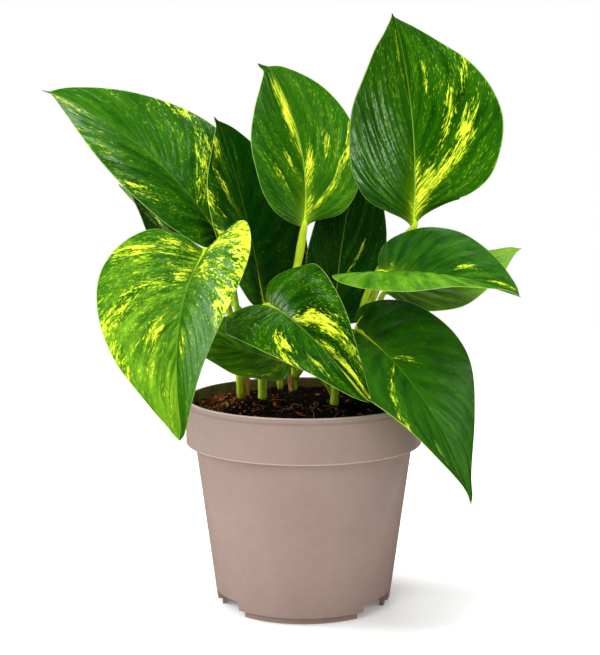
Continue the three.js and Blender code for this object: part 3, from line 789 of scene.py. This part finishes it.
def stalkMaterial(name, low, high):
    # paler streaks that run up the stalk; painted shade that darkens it from high down to low,
    # in metres above the floor; a few brown spots
    made = newMaterial(name, 0.38, 0.35)
    tree = made[1]
    place = objectPlace(tree)
    grain = upwardGrain(tree, place, 0.12, 900.0, 0.55)
    blotch = noise(tree, place, 130.0)
    spots = noise(tree, place, 420.0, 2.0, 0.6)
    height = add(tree, "ShaderNodeSeparateXYZ", {0: place}).outputs[2]
    paint = blend(tree, step(tree, grain, 0.35, 0.68), stalkColours["green"],
                  stalkColours["pale"])
    for mask, shade in ((step(tree, blotch, 0.52, 0.75, 0.0, 0.55), "green"),
                        # painted shade, darker towards the bottom
                        (step(tree, height, low, high, 0.75, 0.0), "paintedShade"),
                        (step(tree, spots, 0.68, 0.76, 0.0, 0.6), "scar")):
        paint = blend(tree, mask, paint, stalkColours[shade])
    return painted(made, paint, grain, 0.0003, 0.5)


stalkFinish = stalkMaterial("leafStalk", 0.105, 0.150)
stemFinish = stalkMaterial("stem", 0.098, 0.112)


def stalkPiece(name, stalk):
    # swollen where it clasps the stem, a knuckle under the blade, then in along the midrib;
    # u is -1 a point before the blade's base, 0 at it, and 3 at the last point on the midrib
    leaf = leaves[name]
    normal = midribFrame(leaf)[4][0]
    base = np.array(leaf["at"], float) - normal * 0.3
    rib = bladeSurface(leaf, np.zeros(3), np.array(stalkShape["ribPlaces"])) - 0.15 * normal
    count, steps = len(stalk["path"]), stalkShape["steps"]
    path = smoothCurve(list(stalk["path"]) + [base] + list(rib), steps)
    u = np.linspace(-count, 3, steps)
    radius = stalk["diameter"] / 2 * (1 + stalkShape["clasp"] * np.exp(-(((u + count) / 0.5) ** 2))
                                      + stalkShape["knuckle"] * np.exp(-(((u + 0.45) / 0.2) ** 2)))
    radius = radius * (1 - 0.5 * smoothStep(u, -0.3, 0.9)) * (1 - 0.78 * smoothStep(u, 0.2, 3.0))
    parts = [tube(path, radius, 16, stalkShape["groove"])]
    for extra in stalk.get("extras", []):
        line = smoothCurve(extra["path"], 18)
        v = np.linspace(0, 1, 18)
        parts.append(tube(line, extra["radius"] * (1 - v) ** 0.6 + 0.08, 7))
    points, faces = joined(parts)
    addPiece("stalk_" + name, points, faces, [stalkFinish], ["petiole_" + name])


def stemPiece(name, stem):
    # a slightly uneven stem, swollen in rings where old leaves left their scars
    path = smoothCurve(stem["path"], 57)
    z = path[:, 2]
    radius = stem["diameter"] / 2 * (1 + stemShape["ripple"] * np.sin(z * 0.9))
    for scar in stemShape["scars"] + (z[-1] - stemShape["topScar"],):
        radius = radius * (1 + stemShape["swell"] * np.exp(-(((z - scar) / 0.8) ** 2)))
    points, faces = tube(path, radius, 20)
    addPiece("stem_" + name + "_bark", points, faces, [stemFinish], ["stem_" + name])


for leafName, stalkSettings in stalks.items():
    stalkPiece(leafName, stalkSettings)
for stemName, stemSettings in stems.items():
    stemPiece(stemName, stemSettings)
print("stalks and stems:", len(stalks) + len(stems))


# Dry leaf bases round two stems.

# a ring in millimetres that runs from one angle to the other, in degrees
husks = {
    "left": {"centre": (-32, 14), "radius": 3.5, "from": -60, "to": 90, "bottom": 103.6,
             "height": 12.0, "seed": 5},
    "back": {"centre": (-5, 27), "radius": 2.7, "from": 110, "to": 260, "bottom": 104.0,
             "height": 12.0, "seed": 9},
}
huskColours = {"tan": colour(0.50, 0.25, 0.08), "brown": colour(0.20, 0.08, 0.025)}


def huskMaterial():
    made = newMaterial("dryHusk", 0.75, 0.2)
    tree = made[1]
    fibre = upwardGrain(tree, objectPlace(tree), 0.08, 1500.0, 0.6)
    paint = blend(tree, step(tree, fibre, 0.38, 0.62), huskColours["brown"],
                  huskColours["tan"])
    return painted(made, paint, fibre, 0.0004, 0.8)


def huskPiece(name, husk):
    # part of a cone open on one side, with a torn top, thin at its edges
    u, v = np.meshgrid(np.linspace(0, 1, 30), np.linspace(0, 1, 26), indexing="ij")
    angle = np.radians(husk["from"] + (husk["to"] - husk["from"]) * v)
    torn = 1 - 0.30 * v + 0.10 * softNoise(v * 10, v * 0, 1.0, husk["seed"])
    torn = torn + 0.06 * softNoise(v * 31, v * 0, 1.0, husk["seed"] + 1)
    z = husk["bottom"] + husk["height"] * u * torn
    reach = husk["radius"] + 0.9 * u**2 + 0.25 * np.sin(9 * angle) * u
    thick = 0.16 + 0.3 * np.sin(np.pi * np.clip(v, 0.02, 0.98))
    shell = lambda r: np.stack([husk["centre"][0] + r * np.cos(angle),
                                husk["centre"][1] + r * np.sin(angle), z], -1)
    rings = np.concatenate([shell(reach + thick / 2), shell(reach - thick / 2)[:, ::-1]], axis=1)
    points, faces = closedRings(rings, rings[0].mean(axis=0), rings[-1].mean(axis=0))
    addPiece("husk_" + name, points, faces, [huskFinish], ["sheath_" + name])


huskFinish = huskMaterial()
for huskName, huskSettings in husks.items():
    huskPiece(huskName, huskSettings)
print("dry sheaths:", len(husks))


# Soil: a rough mound with crumbs and fibres on it.

# wall: radius and height up the inside of the pot; mound: radii, then the heights there;
# lumps: height, width and seed; crumbSize is the smallest and crumbGrowth what the largest
# have more; hairs are the last of the fibres; pairs are ranges
soil = {"radius": 58.1, "bottom": 10.5, "around": 280, "surfaceRows": 84, "seed": 21,
        "wall": ((20, 10.5), (42.7, 10.5), (53.2, 83.8), (58.1, 86.2), (58.1, 94.0)),
        "mound": ((0, 22, 38, 50, 58.1), (106.0, 105.4, 104.0, 102.2, 100.8)),
        "lumps": ((1.0, 9.0, 3), (0.9, 4.1, 4), (0.55, 1.9, 5), (0.3, 0.95, 6)),
        "crumbs": 9400, "crumbSize": 0.22, "crumbGrowth": 0.85, "fibres": 150, "hairs": 12,
        "fibreLength": (2.5, 9), "fibreRadius": (0.09, 0.18), "hairRadius": 0.1}
soilColours = {"black": colour(0.002, 0.0012, 0.001), "brown": colour(0.010, 0.004, 0.0022),
               "rust": colour(0.46, 0.135, 0.026), "straw": colour(0.40, 0.22, 0.09)}


def soilHeight(x, y):
    # a low mound, with lumps of four sizes that shrink towards the pot's wall
    r = np.hypot(x, y)
    rough = sum(height * softNoise(x, y, width, seed) for height, width, seed in soil["lumps"])
    return np.interp(r, *soil["mound"]) + rough * (0.35 + 0.65 * (1 - smoothStep(r, 50, 58)))


def soilMaterial():
    # near-black peat, rust and straw where a point's own shade value is high; the value rises
    # towards the left, partly for rust and partly as painted light on the lit side
    made = newMaterial("peat", 0.95, 0.12)
    tree = made[1]
    place = objectPlace(tree)
    clods = noise(tree, place, 420.0, 4.0, 0.7)
    shade = attribute(tree, "shade")
    warm = weighted(tree, shade, (noise(tree, place, 60.0), 0.5))
    paint = blend(tree, step(tree, clods, 0.42, 0.62), soilColours["black"],
                  soilColours["brown"])
    paint = blend(tree, step(tree, warm, 0.80, 1.0, 0.0, 0.9), paint, soilColours["rust"])
    paint = blend(tree, step(tree, shade, 0.93, 0.97, 0.0, 0.8), paint, soilColours["straw"])
    return painted(made, paint, noise(tree, place, 1600.0, 4.0, 0.7), 0.001, 0.9)


def soilPiece():
    # rings: up the inside of the pot's wall, then in over the surface to the crown
    angle = np.linspace(0, 2 * np.pi, soil["around"], endpoint=False)
    wallR, wallZ = np.array(soil["wall"]).T[..., None]
    wall = np.stack([wallR * np.cos(angle), wallR * np.sin(angle), wallZ + 0 * angle], -1)
    surfaceR = np.linspace(soil["radius"], 0.7, soil["surfaceRows"])[:, None]
    x, y = surfaceR * np.cos(angle), surfaceR * np.sin(angle)
    rings = np.concatenate([wall, np.stack([x, y, soilHeight(x, y)], -1)])
    crown = (0, 0, float(soilHeight(np.zeros(1), np.zeros(1))[0]))
    return closedRings(rings, (0, 0, soil["bottom"]), crown)


def crumbParts(rng):
    # twenty-sided lumps, each stretched and turned at random, sunk a little into the surface
    gold = (1 + 5**0.5) / 2
    corner = np.array([(-1, gold, 0), (1, gold, 0), (-1, -gold, 0), (1, -gold, 0),
                       (0, -1, gold), (0, 1, gold), (0, -1, -gold), (0, 1, -gold),
                       (gold, 0, -1), (gold, 0, 1), (-gold, 0, -1), (-gold, 0, 1)])
    corner = corner / np.linalg.norm(corner[0])
    sides = np.array([(0, 11, 5), (0, 5, 1), (0, 1, 7), (0, 7, 10), (0, 10, 11), (1, 5, 9),
                      (5, 11, 4), (11, 10, 2), (10, 7, 6), (7, 1, 8), (3, 9, 4), (3, 4, 2),
                      (3, 2, 6), (3, 6, 8), (3, 8, 9), (4, 9, 5), (2, 4, 11), (6, 2, 10),
                      (8, 6, 7), (9, 8, 1)])
    count = soil["crumbs"]
    r = (soil["radius"] - 1.2) * np.sqrt(rng.uniform(0, 1, count))
    angle = rng.uniform(0, 2 * np.pi, count)
    x, y = r * np.cos(angle), r * np.sin(angle)
    size = soil["crumbSize"] + soil["crumbGrowth"] * rng.uniform(0, 1, count) ** 6
    turn = np.linalg.qr(rng.normal(size=(count, 3, 3)))[0]
    lump = corner[None] * rng.uniform(0.7, 1.3, (count, 12, 1))
    lump = lump * (size[:, None] * rng.uniform(0.6, 1.3, (count, 3)))[:, None, :]
    lump = np.einsum("nij,nkj->nki", turn, lump)
    centre = np.stack([x, y, soilHeight(x, y) + size * 0.25], -1)
    points = (centre[:, None] + lump).reshape(-1, 3)
    faces = (sides[None] + 12 * np.arange(count)[:, None, None]).reshape(-1, 3)
    # lumps turned inside out by the random turn are put right
    flipped = np.linalg.det(turn) < 0
    faces = np.where(np.repeat(flipped, len(sides))[:, None], faces[:, ::-1], faces)
    # redder towards the left, partly rust and partly painted light on the lit side
    leftRustAndLit = 0.62 * smoothStep(-x, 18, 46)
    shade = np.clip(rng.uniform(0, 0.9, count) ** 3.2 + leftRustAndLit, 0, 1)
    return points, [tuple(f) for f in faces], np.repeat(shade, 12)


def fibreParts(rng):
    # short curved fibres of root and coir lying on the soil; the last ones are longer, pale
    # root hairs in front of the middle stems
    parts, shades = [], []
    for k in range(soil["fibres"]):
        r, angle = 55 * math.sqrt(rng.uniform()), rng.uniform(0, 2 * math.pi)
        length, heading = rng.uniform(*soil["fibreLength"]), rng.uniform(0, 2 * math.pi)
        isHair = k >= soil["fibres"] - soil["hairs"]
        if isHair:
            r, angle, length = rng.uniform(14, 42), rng.uniform(-2.0, -1.1), length + 6
        v = np.linspace(-0.5, 0.5, 6)
        turn = heading + rng.uniform(-1.2, 1.2) * v * 2
        x = r * math.cos(angle) + length * v * np.cos(turn)
        y = r * math.sin(angle) + length * v * np.sin(turn)
        keep = np.minimum(1, (soil["radius"] - 1.0) / np.maximum(np.hypot(x, y), 1e-6))
        x, y = x * keep, y * keep
        z = soilHeight(x, y) + 0.45 + rng.uniform(0, 0.9) * np.cos(np.pi * v)
        thick = soil["hairRadius"] if isHair else rng.uniform(*soil["fibreRadius"])
        parts.append(tube(np.stack([x, y, z], -1), np.full(6, thick), 4))
        shade = rng.uniform(0.2, 0.85)
        shades.append(np.full(len(parts[-1][0]), 1.0 if isHair else shade))
    return joined(parts) + (np.concatenate(shades),)


def buildSoil():
    # the bed reddens towards the left, partly rust and partly painted light on the lit side
    rng = np.random.default_rng(soil["seed"])
    finish = soilMaterial()
    bed = soilPiece()
    rustAndLitLeft = 0.2 + 0.4 * smoothStep(-bed[0][:, 0], 22, 48)
    parts = {"bed": bed + (rustAndLitLeft,), "crumbs": crumbParts(rng), "fibres": fibreParts(rng)}
    for name, (points, faces, shade) in parts.items():
        addPiece("soil_" + name, points, faces, [finish], ["soil"],
                 smooth=name != "crumbs", values={"shade": shade})


buildSoil()
print("soil done")


# Pot.

# radii, heights and the bevel in millimetres, angles in degrees; a notch cuts the wall over
# notchHalf and the foot over footHalf to each side
pot = {"rim": 60.0, "height": 107.0, "band": 23.0, "shoulder": 55.4, "toe": 44.5, "foot": 42.0,
       "footHeight": 3.5, "footWidth": 2.0, "wall": 1.6, "floorBottom": 8.5, "hub": 12.0,
       "notchAngles": (-152.5, -32.5, 87.5), "notchHeight": 8.0, "notchHalf": 15.5,
       "footHalf": 18.0, "holes": 6, "holeRadius": 4.0, "holeRing": 27.0, "bevel": 0.28}
# lip: the painted highlight colour, also the pale mottle's; inner: painted shade and green bounce
# light
potColours = {"body": colour(0.280, 0.198, 0.166), "warm": colour(0.268, 0.182, 0.150),
              "inner": colour(0.12, 0.105, 0.012), "lip": colour(0.52, 0.43, 0.39),
              "shade": colour(0.13, 0.085, 0.068)}


def potMaterial():
    made = newMaterial("pottedPlastic", 0.5, 0.35)
    tree = made[1]
    place = objectPlace(tree)
    cloud = noise(tree, place, 26.0, 3.0, 0.55)
    mottle = noise(tree, place, 240.0, 3.0, 0.6)
    paint = blend(tree, step(tree, cloud, 0.35, 0.68), potColours["body"], potColours["warm"])
    paint = blend(tree, step(tree, mottle, 0.35, 0.75, 0.0, 0.05), paint, potColours["lip"])
    # radius from the pot's axis and height, in millimetres
    centred = add(tree, "ShaderNodeVectorMath",
                  {0: place, 1: tuple(float(v) for v in axisPoint)}, operation="SUBTRACT")
    parts = add(tree, "ShaderNodeSeparateXYZ", {0: centred.outputs[0]})
    flat = add(tree, "ShaderNodeCombineXYZ", {0: parts.outputs[0], 1: parts.outputs[1]})
    r = add(tree, "ShaderNodeVectorMath", {0: flat.outputs[0]}, operation="LENGTH").outputs[1]
    r, z = (product(tree, metres, 1000.0) for metres in (r, parts.outputs[2]))
    rim, inner, top = pot["rim"], pot["rim"] - pot["wall"], pot["height"]
    bandZ = top - pot["band"]
    # painted highlights on the band's lower edge and along the lip, a painted shade line below the
    # lip, and painted shade with green bounce light on the inner wall above the soil
    bandEdgeHighlight = product(tree, step(tree, r, rim - 0.8, rim - 0.4, 0.0, 0.45),
                   step(tree, z, bandZ + 0.3, bandZ + 0.9, 1.0, 0.0))
    lip = product(tree, step(tree, z, top - 0.8, top - 0.4, 0.0, 0.9),
                  step(tree, r, inner, inner + 0.4))
    line = product(tree, step(tree, z, top - 4.0, top - 3.4, 0.0, 0.35),
                   step(tree, z, top - 2.6, top - 2.0, 1.0, 0.0))
    # painted shade and green bounce light on the inner wall above the soil
    inside = product(tree, step(tree, r, inner, inner + 0.4, 1.0, 0.0),
                     step(tree, z, bandZ - 1.0, bandZ + 3.0))
    innerShadeAndBounce = product(tree, inside, step(tree, mottle, 0.3, 0.7, 0.7, 1.0))
    for mask, name in ((bandEdgeHighlight, "lip"), (lip, "lip"), (line, "shade"), (innerShadeAndBounce, "inner")):
        paint = blend(tree, mask, paint, potColours[name])
    return painted(made, paint, noise(tree, place, 1900.0, 2.0, 0.6), 0.00025, 0.5,
                   weighted(tree, 0.46, (mottle, 0.08)))


def potProfile(hasFoot, hasToe):
    # radius and height of the wall's section: floor, foot, outer wall, band, lip, inner wall
    rim, top, wall, shoulder = pot["rim"], pot["height"], pot["wall"], pot["shoulder"]
    hub, floorZ, footZ = pot["hub"], pot["floorBottom"], pot["footHeight"]
    notch = pot["notchHeight"]
    bandZ = top - pot["band"]
    slope = (shoulder - pot["toe"]) / (bandZ - footZ)
    # a height that a notch cuts away is pulled up to the notch, so that sections still match
    toeZ = footZ if hasToe else notch
    lowZ = 0.0 if hasFoot else toeZ
    toeR = pot["toe"] + slope * (toeZ - footZ)
    inFoot = pot["foot"] - pot["footWidth"]
    wallZ = np.concatenate([[toeZ], np.linspace(notch, bandZ, 9)])
    lower = [(hub, floorZ), (inFoot, floorZ), (inFoot, notch), (inFoot, toeZ), (inFoot, lowZ),
             (pot["foot"], lowZ), (pot["foot"], toeZ)]
    outer = list(zip(toeR + slope * (wallZ - toeZ), wallZ))
    upper = [(rim - 0.25, bandZ), (rim, bandZ + 0.25), (rim, bandZ + 8), (rim - 0.1, bandZ + 16),
             (rim, top - 1.3), (rim - 0.22, top - 0.4), (rim - 0.75, top), (rim - 1.2, top - 0.1),
             (rim - wall, top - 0.6), (rim - wall, bandZ + wall), (shoulder - wall, bandZ),
             (pot["toe"] - wall, floorZ + wall), (hub, floorZ + wall)]
    return np.array(lower + outer + upper, float)


def potStations():
    # angles round the pot with the section that each one has; the sides of a notch are
    # two sections at the same angle
    stations = []
    wide, narrow = pot["footHalf"], pot["notchHalf"]
    centres = sorted(pot["notchAngles"])
    for centre, following in zip(centres, centres[1:] + [centres[0] + 360]):
        stations += [(centre - wide, True, True), (centre - wide, False, True),
                     (centre - narrow, False, True), (centre - narrow, False, False)]
        stations += [(centre + d, False, False) for d in np.linspace(-narrow, narrow, 17)[1:-1]]
        stations += [(centre + narrow, False, False), (centre + narrow, False, True),
                     (centre + wide, False, True), (centre + wide, True, True)]
        span = np.linspace(centre + wide, following - wide, 44)[1:-1]
        stations += [(angle, True, True) for angle in span]
    return stations


def holeCutter():
    # short posts on a ring, one for each drain hole
    parts = []
    for turn in 2 * np.pi * np.arange(pot["holes"]) / pot["holes"]:
        line = [(pot["holeRing"] * math.cos(turn), pot["holeRing"] * math.sin(turn), z)
                for z in np.linspace(pot["floorBottom"] - 2.5, pot["floorBottom"] + 4.5, 4)]
        parts.append(tube(line, np.full(4, pot["holeRadius"]), 28))
    points, faces = joined(parts)
    mesh = bpy.data.meshes.new("holeCutter")
    mesh.from_pydata(placed(points), [], faces)
    return addObject("holeCutter", mesh)


def buildPot():
    # the sections carried round the axis
    stations = potStations()
    angle = np.radians([s[0] for s in stations])
    r, z = np.stack([potProfile(s[1], s[2]) for s in stations], axis=1).transpose(2, 0, 1)
    rings = np.stack([r * np.cos(angle), r * np.sin(angle), z], -1)
    floorZ = pot["floorBottom"]
    points, faces = closedRings(rings, (0, 0, floorZ), (0, 0, floorZ + pot["wall"]))
    piece = addPiece("pot_shell", points, faces, [potMaterial()], ["pot"])
    finishPot(piece, holeCutter())


def finishPot(piece, cutter):
    # doubles merged, drain holes cut, then a small bevel on every hard edge
    bpy.context.view_layer.objects.active = piece
    weld = piece.modifiers.new("weld", "WELD")
    weld.merge_threshold = 1e-5
    cut = piece.modifiers.new("holes", "BOOLEAN")
    cut.object, cut.solver = cutter, "EXACT"
    for name in ("weld", "holes"):
        bpy.ops.object.modifier_apply(modifier=name)
    bpy.data.objects.remove(cutter)
    bevel = piece.modifiers.new("bevel", "BEVEL")
    bevel.width, bevel.segments = pot["bevel"] * 0.001, 2
    bevel.angle_limit = math.radians(32)
    bevel.limit_method = "ANGLE"
    bpy.ops.object.modifier_apply(modifier="bevel")
    piece.data.polygons.foreach_set("use_smooth", np.full(len(piece.data.polygons), True))
    piece.modifiers.new("normals", "WEIGHTED_NORMAL").keep_sharp = True


buildPot()
print("pot done")


# Floor and surroundings.

floorSettings = {"half": 950.0, "glow": 0.14, "white": colour(0.93, 0.93, 0.93)}


def addFloor(settings):
    # a pale square that glows faintly, so that its far part stays white
    h = settings["half"]
    mesh = bpy.data.meshes.new("floor")
    mesh.from_pydata(placed([(-h, -h, 0), (h, -h, 0), (h, h, 0), (-h, h, 0)]), [],
                     [(0, 1, 2, 3)])
    floor = addObject("floor", mesh)
    material, tree, shader = newMaterial("paleFloor", 0.8, 0.1)
    white = settings["white"]
    dim = tuple(0.985 * v for v in white[:3]) + (1.0,)
    paper = blend(tree, noise(tree, objectPlace(tree), 40.0), dim, white)
    tree.links.new(paper, shader.inputs["Base Color"])
    shader.inputs["Emission Color"].default_value = colour(1, 1, 1)
    shader.inputs["Emission Strength"].default_value = settings["glow"]
    mesh.materials.append(material)
    floor.visible_glossy = False


def studioLight(tree):
    # white behind the object, softer as a light, and softer still in reflections
    path = add(tree, "ShaderNodeLightPath")
    glow = step(tree, path.outputs["Is Glossy Ray"], 0.0, 1.0, 0.40, 0.03)
    return calc(tree, "MAXIMUM", glow, path.outputs["Is Camera Ray"])


def addWorld():
    world = bpy.data.worlds.new("studio")
    world.use_nodes = True
    bpy.context.scene.world = world
    tree = world.node_tree
    background = tree.nodes["Background"]
    background.inputs["Color"].default_value = colour(1, 1, 1)
    tree.links.new(studioLight(tree), background.inputs["Strength"])


addFloor(floorSettings)
addWorld()
bpy.context.scene.view_settings.view_transform = "Standard"
print("floor and world done")
